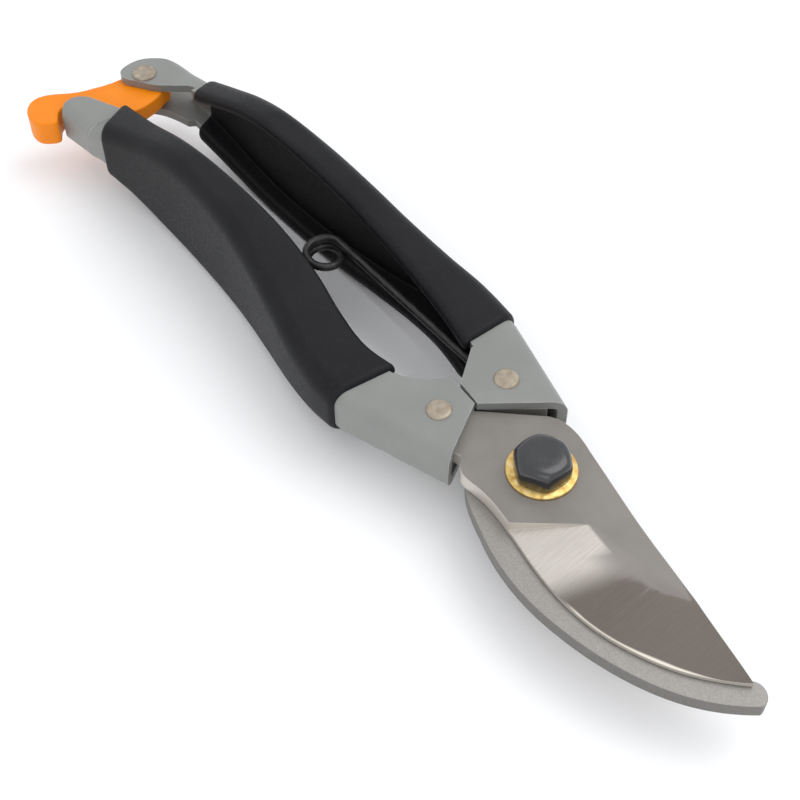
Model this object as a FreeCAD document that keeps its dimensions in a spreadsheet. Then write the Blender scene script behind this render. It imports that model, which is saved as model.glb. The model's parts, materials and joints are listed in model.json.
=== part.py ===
"""Bypass pruning shears: two pressed-steel handles, a cutting blade, a hooked counter blade,
a pivot bolt with its nut, a torsion spring and a swinging latch. All sizes are in millimetres.

Working frame: the pivot axis is Z through the origin, +X points along the centre line to the blade
tips, +Y points to the handle that carries the hook, and z = 0 is the plane in which the cutting blade
slides on the hook. Each finished sub-part is then shifted, so that the row's origin is the middle of the
underside of the whole tool.
"""
import FreeCAD, Part
import Sketcher
import math
import os

Vector = FreeCAD.Vector

doc = FreeCAD.newDocument("pruning_shears")

# ---------------------------------------------------------------- driving dimensions
DIMENSIONS = {
    # the pivot's place in the row's frame
    "pivot_x": 48.9,
    "pivot_y": 3.6,
    "pivot_z": 13.5,
    # blades and pivot
    "blade_thickness": 3.2,
    "hook_thickness": 3.2,
    "edge_thickness": 0.75,
    "face_gap": 0.05,
    "pivot_shank_radius": 4.0,
    "pivot_clearance": 0.05,
    "washer_radius": 6.85,
    "washer_thickness": 0.6,
    "nut_across_flats": 11.2,
    "nut_height": 4.6,
    "bolt_head_radius": 6.4,
    "bolt_head_height": 2.4,
    # pressed handles and their dipped coats
    "sheet_thickness": 1.95,
    "ferrule_half_height": 5.2,
    "rear_half_height": 4.8,
    "bend_radius": 3.0,
    "coat_outside": 1.0,
    "coat_inside": 0.6,
    "grip_half_height": 13.5,
    # rivets
    "rivet_shank_radius": 1.6,
    "rivet_head_radius": 2.6,
    "rivet_head_height": 0.6,
    "hook_rivet_x": -20.0,
    "hook_rivet_y": 8.0,
    "blade_rivet_x": -21.8,
    "blade_rivet_y": -7.3,
    "latch_rivet_x": -145.7,
    "latch_rivet_y": 0.3,
    "latch_rivet_shank_radius": 2.0,
    "latch_rivet_head_radius": 2.9,
    "latch_rivet_head_height": 0.8,
    # latch
    "latch_top": 2.75,
    "latch_arm_thickness": 4.1,
    "latch_claw_thickness": 6.4,
    "latch_hub_radius": 4.2,
    # torsion spring
    "spring_wire_radius": 0.9,
    "spring_coil_radius": 3.85,
    "spring_coil_x": -73.8,
    "spring_coil_y": 2.1,
    "spring_ring_height": 1.15,
    "hook_leg_end_x": -29.8,
    "hook_leg_end_y": 7.6,
    "blade_leg_end_x": -38.0,
    "blade_leg_end_y": -12.5,
}

sheet = doc.addObject("Spreadsheet::Sheet", "Sizes")
for row, (alias, value) in enumerate(DIMENSIONS.items(), start=1):
    sheet.set("A%d" % row, alias)
    sheet.set("B%d" % row, repr(value))
    sheet.setAlias("B%d" % row, alias)
doc.recompute()


def size(alias):
    """One driving dimension, read back from the sheet."""
    return float(sheet.get(alias))


SUB_PARTS = []


def keep(part, label):
    """Name a finished sub-part, shift it to the row's frame and list it for writing."""
    part.Label = label
    for axis in "xyz":
        part.setExpression("Placement.Base." + axis, "Sizes.pivot_" + axis)
    SUB_PARTS.append(part)
    return part


# ---------------------------------------------------------------- outlines
def outline(start, steps):
    """The curves of a closed plan outline. A step is ("line", end), ("arc", middle, end) or
    ("curve", point, ..., end), and each begins where the one before it ended."""
    curves = []
    here = Vector(*start, 0)
    for kind, *plan_points in steps:
        points = [Vector(x, y, 0) for x, y in plan_points]
        if kind == "line":
            curves.append(Part.LineSegment(here, points[-1]))
        elif kind == "arc":
            curves.append(Part.Arc(here, points[0], points[1]))
        else:
            curve = Part.BSplineCurve()
            curve.interpolate([here] + points)
            curves.append(curve)
        here = points[-1]
    if here.distanceToPoint(Vector(*start, 0)) > 1e-6:
        curves.append(Part.LineSegment(here, Vector(*start, 0)))
    return curves


def prism(start, steps, z_low, z_high):
    """A solid with a plan outline, from z_low to z_high."""
    wire = Part.Wire([curve.toShape() for curve in outline(start, steps)])
    solid = Part.Face(wire).extrude(Vector(0, 0, z_high - z_low))
    solid.translate(Vector(0, 0, z_low))
    return solid


def plan_sketch(body, name, curves, height=None):
    """A sketch on a body's own XY plane, raised by an expression, with its curves held in place."""
    sketch = body.newObject("Sketcher::SketchObject", name)
    plane = [item for item in body.Origin.OriginFeatures if item.Role == "XY_Plane"][0]
    sketch.AttachmentSupport = (plane, "")
    sketch.MapMode = "FlatFace"
    if height:
        sketch.setExpression("AttachmentOffset.Base.z", height)
    for curve in curves:
        index = sketch.addGeometry(curve, False)
        sketch.addConstraint(Sketcher.Constraint("Block", index))
    return sketch


def circle_sketch(body, name, x_cell, y_cell, radius, height=None):
    """A sketch of one circle whose centre and radius follow the sheet. A cell may be None for zero."""
    sketch = plan_sketch(body, name, [], height)
    index = sketch.addGeometry(Part.Circle(Vector(size(x_cell) if x_cell else 0,
                                                  size(y_cell) if y_cell else 0, 0),
                                           Vector(0, 0, 1), 1.0), False)
    rules = [("Radius", None, radius)]
    if x_cell:
        rules.append(("DistanceX", x_cell, "Sizes." + x_cell))
        rules.append(("DistanceY", y_cell, "Sizes." + y_cell))
    else:
        sketch.addConstraint(Sketcher.Constraint("Coincident", index, 3, -1, 1))
    for kind, cell, expression in rules:
        if kind == "Radius":
            rule = sketch.addConstraint(Sketcher.Constraint(kind, index, 1.0))
        else:
            rule = sketch.addConstraint(Sketcher.Constraint(kind, -1, 1, index, 3, size(cell)))
        sketch.setExpression("Constraints[%d]" % rule, expression)
    return sketch


def pad(body, name, sketch, length):
    feature = body.newObject("PartDesign::Pad", name)
    feature.Profile = sketch
    feature.setExpression("Length", length)
    return feature


def hole_through(body, name, sketch):
    """Cut a sketch through the whole body, both ways from its plane."""
    feature = body.newObject("PartDesign::Pocket", name)
    feature.Profile = sketch
    feature.Type = "ThroughAll"
    feature.Midplane = True
    return feature


# ---------------------------------------------------------------- plates
def plate(label, start, steps, height, thickness, holes):
    """A flat plate with round holes. holes lists (name, x cell, y cell, radius expression)."""
    body = doc.addObject("PartDesign::Body", label + "_body")
    curves = outline(start, steps)
    pad(body, label + "_plate", plan_sketch(body, label + "_outline", curves, height), thickness)
    for name, x_cell, y_cell, radius in holes:
        hole_through(body, name, circle_sketch(body, name + "_circle", x_cell, y_cell, radius))
    return body


# The hooked counter blade lies under the cutting blade. Its tang runs back into the +Y handle.
hook_plate = plate(
    "hook_blade", (57.9, -0.6),
    [("curve", (57.5, 0.9), (56.4, 1.9), (55.0, 2.2), (53.4, 1.5)),                # blunt tip
     ("curve", (47.0, -2.4), (39.5, -6.4), (31.5, -9.2), (24.0, -9.9), (17.5, -8.4), (13.4, -5.0)),
     ("curve", (12.2, -1.0), (12.2, 3.5), (9.5, 7.4), (4.5, 10.3), (-2.0, 11.2)),  # throat and back
     ("line", (-9.6, 10.9)),
     ("line", (-18.0, 13.3)),                                                      # tang
     ("curve", (-23.2, 12.6), (-26.0, 9.0), (-25.6, 4.2)),
     ("line", (-23.0, 0.9)),
     ("line", (-17.4, 0.6)),
     ("curve", (-14.7, -2.2), (-12.3, -7.0), (-7.9, -11.8), (-3.0, -14.4), (1.9, -16.0)),  # heel
     ("curve", (9.8, -18.0), (18.5, -18.6), (26.5, -17.8), (38.2, -14.8), (49.8, -8.8),
      (56.0, -3.0), (57.9, -0.6))],
    "-Sizes.hook_thickness - Sizes.face_gap", "Sizes.hook_thickness",
    [("hook_pivot_hole", None, None, "Sizes.pivot_shank_radius"),
     ("hook_rivet_hole", "hook_rivet_x", "hook_rivet_y", "Sizes.rivet_shank_radius")])
keep(hook_plate, "hook_blade")

# The cutting blade, before its bevel is ground. Its tang runs back into the -Y handle.
blade_plate = plate(
    "cutting_blade", (54.3, 0.6),
    [("curve", (47.2, 1.6), (38.3, 3.0), (29.5, 4.5), (19.3, 6.4), (9.5, 8.6), (2.1, 10.3)),  # spine
     ("curve", (-2.4, 11.2), (-6.2, 11.0), (-9.0, 9.7)),
     ("line", (-18.7, -0.9)),
     ("line", (-24.0, -1.6)),                                                                # tang
     ("curve", (-27.0, -5.5), (-27.4, -10.0), (-25.0, -14.0)),
     ("line", (-11.7, -9.9)),
     ("line", (-10.0, -11.5)),
     ("curve", (-8.9, -12.1), (-4.0, -11.95), (4.2, -12.3), (9.0, -13.0)),                   # heel
     ("curve", (15.0, -13.95), (22.0, -14.4), (30.0, -13.6), (38.5, -10.9), (45.0, -7.5),
      (50.4, -3.3), (54.3, 0.6))],
    "Sizes.face_gap", "Sizes.blade_thickness",
    [("blade_pivot_hole", None, None, "Sizes.pivot_shank_radius + Sizes.pivot_clearance"),
     ("blade_rivet_hole", "blade_rivet_x", "blade_rivet_y", "Sizes.rivet_shank_radius")])
doc.recompute()


def bevel_waste():
    """The metal ground off the blade: everything above a ruled surface from the bevel's upper line, on
    the blade's face, down to its thin edge. The first ruling is the step across the heel, and both
    lines run on past the spine and the tip."""
    top = size("face_gap") + size("blade_thickness")
    thin = size("face_gap") + size("edge_thickness")
    top_line = [(14.3, -0.8), (19.8, -1.5), (25.2, -1.8), (30.6, -1.0), (34.4, 0.7), (38.4, 3.5),
                (46.0, 6.2), (60.0, 7.5)]
    edge_line = [(4.8, -13.2), (13.1, -14.8), (19.8, -15.4), (26.6, -15.2), (33.6, -13.8), (40.6, -10.9),
                 (48.4, -6.2), (57.0, 2.0)]
    edges = []
    for points, height in ((top_line, top), (edge_line, thin)):
        curve = Part.BSplineCurve()
        curve.interpolate([Vector(x, y, height) for x, y in points],
                          Parameters=[index / (len(points) - 1) for index in range(len(points))])
        edges.append(curve.toShape())
    return Part.makeRuledSurface(*edges).extrude(Vector(0, 0, 2 * size("blade_thickness")))


bevel = doc.addObject("Part::Feature", "bevel_waste")
bevel.Shape = bevel_waste()
blade = doc.addObject("Part::Cut", "cutting_blade_ground")
blade.Base = blade_plate
blade.Tool = bevel
keep(blade, "cutting_blade")


# ---------------------------------------------------------------- pressed handles
def channel_section(x, outer, inner, half, wall, radius, round_tips=False):
    """A U-shaped section at one x, open towards the other handle. outer and inner are the plan
    distances of its back and of its flange tips from the centre line, signed by the handle's side."""
    side = math.copysign(1.0, outer)
    inside = radius - wall

    def point(y, z):
        return Vector(x, side * y, z)

    def corner(y, z, reach, z_sign):
        """A quarter circle about (y, z), from the flange to the back or, downwards, the other way."""
        start = point(y, z + z_sign * reach)
        end = point(y + reach, z)
        middle = point(y + reach * math.sqrt(0.5), z + z_sign * reach * math.sqrt(0.5))
        return start, middle, end

    back = abs(outer)
    tip = side * inner
    bend_y = back - radius
    bend_z = half - radius
    edges = []
    top = corner(bend_y, bend_z, radius, 1)
    low = corner(bend_y, -bend_z, radius, -1)
    top_in = corner(bend_y, bend_z, inside, 1)
    low_in = corner(bend_y, -bend_z, inside, -1)
    edges.append(Part.LineSegment(point(tip, half), top[0]))
    edges.append(Part.Arc(*top))
    edges.append(Part.LineSegment(top[2], low[2]))
    edges.append(Part.Arc(low[2], low[1], low[0]))
    edges.append(Part.LineSegment(low[0], point(tip, -half)))
    if round_tips:
        reach = 0.5 * wall
        edges.append(Part.Arc(point(tip, -half), point(tip - reach, -half + reach), point(tip, -half + wall)))
    else:
        edges.append(Part.LineSegment(point(tip, -half), point(tip, -half + wall)))
    edges.append(Part.LineSegment(point(tip, -half + wall), low_in[0]))
    edges.append(Part.Arc(*low_in))
    edges.append(Part.LineSegment(low_in[2], top_in[2]))
    edges.append(Part.Arc(top_in[2], top_in[1], top_in[0]))
    edges.append(Part.LineSegment(top_in[0], point(tip, half - wall)))
    if round_tips:
        edges.append(Part.Arc(point(tip, half - wall), point(tip - reach, half - reach), point(tip, half)))
    else:
        edges.append(Part.LineSegment(point(tip, half - wall), point(tip, half)))
    return Part.Wire([edge.toShape() for edge in edges])


def channel_run(stations, outside=0.0, inside=0.0, ruled=False, round_tips=False):
    """A stretch of channel lofted through its stations (x, back, tips, half height), grown by a coat
    of the given thicknesses outside and inside the sheet."""
    wall = size("sheet_thickness") + outside + inside
    radius = size("bend_radius") + outside
    sections = []
    for x, outer, inner, half in stations:
        side = math.copysign(1.0, outer)
        tip = inner if round_tips else inner - side * outside
        sections.append(channel_section(x, outer + side * outside, tip, half + outside,
                                        wall, radius, round_tips))
    return Part.makeLoft(sections, True, ruled)


def round_backed_bar(back_line, half):
    """A solid bar with the channel's outer bends along its back, which follows the line's two ends."""
    radius = size("bend_radius")
    middle = radius * math.sqrt(0.5)
    sections = []
    for x, back in back_line:
        bend_y = back + radius
        bend_z = half - radius
        edges = [Part.LineSegment(Vector(x, 0, half), Vector(x, bend_y, half)),
                 Part.Arc(Vector(x, bend_y, half), Vector(x, bend_y - middle, bend_z + middle),
                          Vector(x, back, bend_z)),
                 Part.LineSegment(Vector(x, back, bend_z), Vector(x, back, -bend_z)),
                 Part.Arc(Vector(x, back, -bend_z), Vector(x, bend_y - middle, -bend_z - middle),
                          Vector(x, bend_y, -half)),
                 Part.LineSegment(Vector(x, bend_y, -half), Vector(x, 0, -half)),
                 Part.LineSegment(Vector(x, 0, -half), Vector(x, 0, half))]
        sections.append(Part.Wire([edge.toShape() for edge in edges]))
    return Part.makeLoft(sections, True, True)


def slot_holes(shape, x_cell, y_cell, radius):
    """Drill a vertical hole at the cells' place."""
    tall = 60.0
    drill = Part.makeCylinder(size(radius), tall, Vector(size(x_cell), size(y_cell), -0.5 * tall))
    return shape.cut(drill)


def ground_flat(shape):
    """Trim the grip's crown top and bottom to one level, so that it has a land to rest on."""
    half = size("grip_half_height")
    return shape.common(Part.makeBox(400, 100, 2 * half, Vector(-300, -50, -half)))


FERRULE = size("ferrule_half_height")
REAR = size("rear_half_height")

# the +Y handle: stations are (x, back, flange tips, half height), from the ferrule to the ears
HOOK_HANDLE_FRONT = [(-4.0, 12.8, -3.0, FERRULE), (-30.5, 19.7, -3.0, FERRULE)]
HOOK_HANDLE_MIDDLE = [(-30.5, 19.7, 8.2, FERRULE), (-42.0, 20.1, 10.2, 5.9), (-52.0, 18.8, 10.9, 7.3),
                      (-64.0, 17.3, 11.0, 9.5), (-76.0, 16.4, 10.7, 11.4), (-88.0, 15.6, 10.1, 12.6),
                      (-104.0, 14.6, 9.3, 12.7), (-114.0, 13.9, 8.5, 11.2), (-124.0, 12.9, 7.1, 8.2),
                      (-133.0, 11.8, 5.6, 5.4)]
HOOK_HANDLE_REAR = [(-133.0, 11.8, 5.6, 5.4), (-140.0, 10.7, -7.0, REAR), (-154.0, 9.0, -7.0, REAR)]

# the -Y handle, whose closed rear end has a half height of its own
BLADE_END_HALF = 5.0
BLADE_END_BACK = [(-136.0, -20.6), (-152.0, -23.2)]
BLADE_HANDLE_FRONT = [(-8.0, -11.7, 3.0, FERRULE), (-34.5, -21.4, 3.0, FERRULE)]
BLADE_HANDLE_MIDDLE = [(-34.5, -21.4, -8.8, FERRULE), (-43.0, -21.9, -10.8, 6.0), (-52.0, -21.0, -10.4, 7.4),
                       (-62.0, -19.1, -8.9, 9.2), (-74.0, -16.9, -8.2, 11.1), (-86.0, -15.4, -8.6, 12.5),
                       (-101.0, -14.9, -9.4, 12.7), (-112.0, -15.5, -10.1, 11.5),
                       (-124.0, -17.4, -10.6, 8.2), (-137.2, -20.9, -10.7, BLADE_END_HALF)]

TALL = 20.0


# plan outlines of the two ears around the latch, each from the flange's free edge round to the back
EAR_END = [(-144.6, -2.6), (-147.2, -4.3), (-149.8, -3.9), (-151.1, -1.2), (-151.2, 1.9), (-149.5, 5.4),
           (-146.9, 8.0), (-143.6, 9.6), (-139.7, 10.7)]
UPPER_EAR = [("curve", (-134.2, 6.6), (-136.7, 4.3), (-139.1, 1.7), (-141.6, -0.7), *EAR_END), ("line", (-132.0, 30.0))]
LOWER_EAR = [("curve", (-136.9, 2.9), (-141.7, 0.1), *EAR_END), ("line", (-132.0, 30.0))]


def hook_handle_metal():
    """The +Y handle: ferrule around the hook's tang at the front, two ears around the latch behind."""
    front = channel_run(HOOK_HANDLE_FRONT, ruled=True)
    front = front.common(prism((-18.6, -0.4), [("line", (-7.1, 15.6)), ("line", (-33.0, 30.0)),
                                               ("line", (-33.0, 8.6)), ("line", (-31.0, 8.3)),
                                               ("line", (-24.6, 0.2))], -TALL, TALL))
    middle = channel_run(HOOK_HANDLE_MIDDLE)
    rear = channel_run(HOOK_HANDLE_REAR, ruled=True)
    ears = prism((-132.0, 6.4), UPPER_EAR, 0, TALL).fuse(prism((-132.0, 4.6), LOWER_EAR, -TALL, 0))
    metal = front.fuse([middle, rear.common(ears)])
    inside = REAR - size("sheet_thickness")
    latch_slot = Part.makeBox(30, 60, 2 * inside, Vector(-169.0, -30, -inside))
    metal = metal.cut(latch_slot)
    metal = slot_holes(metal, "hook_rivet_x", "hook_rivet_y", "rivet_shank_radius")
    return slot_holes(metal, "latch_rivet_x", "latch_rivet_y", "latch_rivet_shank_radius")


# plan outlines of the -Y handle's closed rear end, outside and inside the sheet
BLADE_HANDLE_END = [("curve", (-137.9, -10.9), (-140.8, -12.3), (-144.3, -13.9), (-146.5, -15.3),
                     (-147.7, -17.5), (-147.5, -19.6), (-146.2, -21.6), (-144.0, -23.0)),
                    ("line", (-136.0, -23.0))]
BLADE_END_HOLLOW = [("curve", (-140.3, -14.3), (-143.6, -15.9), (-145.2, -17.2), (-145.6, -18.6),
                     (-144.9, -19.4), (-142.8, -19.7)),
                    ("line", (-136.0, -18.7))]


def blade_handle_metal():
    """The -Y handle: ferrule around the blade's tang at the front, a closed rounded end behind."""
    front = channel_run(BLADE_HANDLE_FRONT, ruled=True)
    front = front.common(prism((-19.0, -0.8), [("line", (-25.9, -0.5)), ("line", (-27.0, -0.9)),
                                               ("curve", (-29.1, -3.8), (-31.7, -6.7), (-35.6, -8.9)),
                                               ("line", (-36.0, -30.0)), ("line", (-10.2, -15.0))],
                               -TALL, TALL))
    middle = channel_run(BLADE_HANDLE_MIDDLE)
    inside = BLADE_END_HALF - size("sheet_thickness")
    end = round_backed_bar(BLADE_END_BACK, BLADE_END_HALF)
    end = end.common(prism((-136.0, -10.4), BLADE_HANDLE_END, -TALL, TALL))
    end = end.cut(prism((-136.0, -13.0), BLADE_END_HOLLOW, -inside, inside))
    metal = front.fuse([middle, end])
    return slot_holes(metal, "blade_rivet_x", "blade_rivet_y", "rivet_shank_radius")


def coat(stations, metal, limits):
    """The dipped coat: the middle of the channel, grown outside and inside, with the sheet taken out.
    limits is the plan quadrilateral that it ends on."""
    skin = channel_run(stations, size("coat_outside"), size("coat_inside"), round_tips=True)
    sides = [("line", corner) for corner in limits[1:]]
    return ground_flat(skin.common(prism(limits[0], sides, -TALL, TALL)).cut(metal))


def shape_part(label, shape):
    part = doc.addObject("Part::Feature", label)
    part.Shape = shape.removeSplitter()
    return keep(part, label)


hook_metal = hook_handle_metal()
blade_metal = blade_handle_metal()
shape_part("hook_handle_channel", hook_metal)
shape_part("hook_handle_grip", coat(HOOK_HANDLE_MIDDLE, hook_metal,
                                    [(-31.6, 0.0), (-32.2, 30.0), (-140.1, 30.0), (-128.6, 0.0)]))
shape_part("blade_handle_channel", blade_metal)
shape_part("blade_handle_grip", coat(BLADE_HANDLE_MIDDLE, blade_metal,
                                     [(-34.6, 0.0), (-37.0, -30.0), (-124.4, -30.0), (-144.6, 0.0)]))


# ---------------------------------------------------------------- fillers beside the tangs
def spacer(label, start, steps, height, hole_name, x_cell, y_cell):
    """A plate that fills the ferrule beside a tang, held by the same rivet."""
    filler = plate(label, start, steps, height,
                   "Sizes.ferrule_half_height - Sizes.sheet_thickness - Sizes.face_gap",
                   [(hole_name, x_cell, y_cell, "Sizes.rivet_shank_radius")])
    return keep(filler, label)


spacer("hook_tang_spacer", (-17.8, 1.0),
       [("line", (-10.6, 10.6)), ("line", (-18.0, 13.3)),
        ("curve", (-23.2, 12.6), (-26.0, 9.0), (-25.6, 4.2)), ("line", (-23.0, 1.0))],
       "Sizes.face_gap", "hook_spacer_hole", "hook_rivet_x", "hook_rivet_y")
spacer("blade_tang_spacer", (-19.2, -1.8),
       [("line", (-24.0, -1.8)), ("curve", (-27.0, -5.5), (-27.4, -10.0), (-25.0, -14.0)),
        ("line", (-14.0, -9.9))],
       "Sizes.sheet_thickness - Sizes.ferrule_half_height",
       "blade_spacer_hole", "blade_rivet_x", "blade_rivet_y")


# ---------------------------------------------------------------- rivets, bolt, nut and washers
def cylinder(name, radius, low, high, x_cell=None, y_cell=None):
    """A vertical cylinder whose radius, ends and place are expressions of the sheet."""
    part = doc.addObject("Part::Cylinder", name)
    part.setExpression("Radius", radius)
    part.setExpression("Height", "(%s) - (%s)" % (high, low))
    part.setExpression("Placement.Base.z", low)
    if x_cell:
        part.setExpression("Placement.Base.x", "Sizes." + x_cell)
        part.setExpression("Placement.Base.y", "Sizes." + y_cell)
    return part


def joined(name, pieces):
    part = doc.addObject("Part::MultiFuse", name)
    part.Shapes = pieces
    return part


def less(name, base, tool):
    part = doc.addObject("Part::Cut", name)
    part.Base = base
    part.Tool = tool
    return part


def rivet(label, prefix, half_height, x_cell, y_cell):
    """A rivet right through a handle: a shank and a low head on each face."""
    shank, head, rise = (prefix + part for part in ("_shank_radius", "_head_radius", "_head_height"))
    top = "Sizes." + half_height
    return keep(joined(label + "_rivet", [
        cylinder(label + "_shank", "Sizes." + shank, "-" + top, top, x_cell, y_cell),
        cylinder(label + "_upper_head", "Sizes." + head, top, top + " + Sizes." + rise, x_cell, y_cell),
        cylinder(label + "_lower_head", "Sizes." + head, "-%s - Sizes.%s" % (top, rise), "-" + top,
                 x_cell, y_cell)]), label)


rivet("hook_handle_rivet", "rivet", "ferrule_half_height", "hook_rivet_x", "hook_rivet_y")
rivet("blade_handle_rivet", "rivet", "ferrule_half_height", "blade_rivet_x", "blade_rivet_y")
rivet("latch_rivet", "latch_rivet", "rear_half_height", "latch_rivet_x", "latch_rivet_y")

# heights up the pivot: underside of the hook, top of the blade with its running gap, and the nut's seat
HOOK_UNDER = "(-Sizes.hook_thickness - Sizes.face_gap)"
BLADE_TOP = "(Sizes.blade_thickness + 2 * Sizes.face_gap)"
NUT_SEAT = "(%s + Sizes.washer_thickness)" % BLADE_TOP
HEAD_SEAT = "(%s - Sizes.washer_thickness)" % HOOK_UNDER
THREAD_TOP = "(%s + 0.7 * Sizes.nut_height)" % NUT_SEAT

keep(joined("pivot_bolt_whole", [
    cylinder("pivot_shank", "Sizes.pivot_shank_radius", HEAD_SEAT, THREAD_TOP),
    cylinder("pivot_head", "Sizes.bolt_head_radius", HEAD_SEAT + " - Sizes.bolt_head_height", HEAD_SEAT)]),
     "pivot_bolt")


def washer(label, low):
    high = low + " + Sizes.washer_thickness"
    return keep(less(label + "_ring", cylinder(label + "_disc", "Sizes.washer_radius", low, high),
                     cylinder(label + "_bore", "Sizes.pivot_shank_radius", low, high)), label)


washer("nut_washer", BLADE_TOP)
washer("head_washer", HEAD_SEAT)


def cap_nut():
    """A closed hexagon nut whose top corners are rounded off by a large ball."""
    hexagon = doc.addObject("Part::Prism", "nut_hexagon")
    hexagon.Polygon = 6
    hexagon.setExpression("Circumradius", "Sizes.nut_across_flats / sqrt(3)")
    hexagon.setExpression("Height", "Sizes.nut_height")
    hexagon.setExpression("Placement.Base.z", NUT_SEAT)
    ball = doc.addObject("Part::Sphere", "nut_ball")
    ball.setExpression("Radius", "0.62 * Sizes.nut_across_flats")
    ball.setExpression("Placement.Base.z", NUT_SEAT + " + 0.26 * Sizes.nut_height")
    dome = doc.addObject("Part::Common", "nut_dome")
    dome.Base = hexagon
    dome.Tool = ball
    return less("nut_whole", dome, cylinder("nut_thread", "Sizes.pivot_shank_radius", NUT_SEAT, THREAD_TOP))


keep(cap_nut(), "pivot_nut")


# ---------------------------------------------------------------- latch
def latch():
    """The latch swings on the rear rivet. A hub and a flat arm lie between the ears, and a thicker claw
    hooks round the end of the other handle. All three share one top face."""
    body = doc.addObject("PartDesign::Body", "latch_body")
    arm = outline((-139.9, 1.6), [
        ("curve", (-141.6, 4.4), (-145.7, 5.3), (-149.4, 3.4), (-150.3, -0.5)),
        ("curve", (-150.1, -4.6), (-150.3, -8.0), (-151.2, -11.6)),
        ("line", (-145.0, -12.0)),
        ("line", (-138.6, -8.9)),
        ("line", (-137.4, -7.4)),
        ("curve", (-137.9, -3.0), (-139.9, 1.6))])
    claw = outline((-150.3, -8.0), [
        ("curve", (-151.0, -11.4), (-152.0, -14.8), (-153.9, -18.3), (-155.5, -21.6), (-155.6, -24.4),
         (-153.8, -27.0), (-150.8, -28.3), (-148.0, -28.2), (-146.2, -26.9)),
        ("curve", (-145.2, -25.2), (-145.0, -23.9), (-145.9, -23.2)),
        ("line", (-147.5, -22.2)),
        ("curve", (-148.9, -20.2), (-149.0, -17.0), (-147.6, -14.4), (-144.9, -12.9), (-141.6, -11.5),
         (-139.4, -10.0)),
        ("line", (-139.8, -8.0))])
    for name, shape, thickness in (("latch_arm", arm, "Sizes.latch_arm_thickness"),
                                   ("latch_claw", claw, "Sizes.latch_claw_thickness")):
        pad(body, name, plan_sketch(body, name + "_outline", shape, "Sizes.latch_top - " + thickness), thickness)
    pad(body, "latch_hub", circle_sketch(body, "latch_hub_circle", "latch_rivet_x", "latch_rivet_y",
                                         "Sizes.latch_hub_radius", "-Sizes.latch_top"),
        "2 * Sizes.latch_top")
    hole_through(body, "latch_hole", circle_sketch(
        body, "latch_hole_circle", "latch_rivet_x", "latch_rivet_y",
        "Sizes.latch_rivet_shank_radius + Sizes.pivot_clearance"))
    return keep(body, "latch_lever")


latch()


# ---------------------------------------------------------------- torsion spring
SPRING_RING_TURN = 350.0


def spring_half(label, side, end_x, end_y):
    """Half of the spring: one turn of the coil and the leg that leaves it at a tangent. side is +1 for
    the hook handle's half, which is the upper one, and -1 for the blade handle's."""
    height = side * size("spring_ring_height")
    wire = size("spring_wire_radius")
    coil = size("spring_coil_radius")
    centre = Vector(size("spring_coil_x"), size("spring_coil_y"), height)
    leg_end = Vector(size(end_x), size(end_y), height)
    reach = leg_end - centre
    turn = math.atan2(reach.y, reach.x) + side * math.acos(coil / reach.Length)

    def on_coil(angle):
        return centre + Vector(math.cos(angle), math.sin(angle), 0) * coil

    around = side * math.radians(SPRING_RING_TURN)
    leg_start = on_coil(turn)
    path = Part.Wire([Part.Arc(on_coil(turn + around), on_coil(turn + 0.5 * around), leg_start).toShape(),
                      Part.LineSegment(leg_start, leg_end).toShape()])
    start_way = Vector(math.sin(turn + around), -math.cos(turn + around), 0) * side
    section = Part.Wire(Part.makeCircle(wire, on_coil(turn + around), start_way))
    part = doc.addObject("Part::Feature", label)
    part.Shape = path.makePipeShell([section], True, True)
    return keep(part, label)


spring_half("spring_hook_leg", 1, "hook_leg_end_x", "hook_leg_end_y")
spring_half("spring_blade_leg", -1, "blade_leg_end_x", "blade_leg_end_y")


# ---------------------------------------------------------------- finish
doc.recompute()
os.makedirs("parts", exist_ok=True)
for item in doc.Objects:
    bad = [state for state in item.State if state in ("Invalid", "Error")]
    if bad:
        raise RuntimeError("%s is %s" % (item.Name, bad))
for part in SUB_PARTS:
    if part.Shape.isNull() or not part.Shape.isValid():
        raise RuntimeError(part.Label + " has no valid shape")
for part in SUB_PARTS:
    part.Shape.exportStep("parts/%s.step" % part.Label)
    box = part.Shape.BoundBox
    print("%-24s %8.1f mm3  %d solid  x %.1f..%.1f y %.1f..%.1f z %.1f..%.1f" % (
        part.Label, part.Shape.Volume, len(part.Shape.Solids),
        box.XMin, box.XMax, box.YMin, box.YMax, box.ZMin, box.ZMax))
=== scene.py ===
"""Bypass pruning shears on a pale studio floor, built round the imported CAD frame. Metres throughout,
apart from the lists of sizes below, which are millimetres from the pivot and go through at()."""
import json
import math

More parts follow.
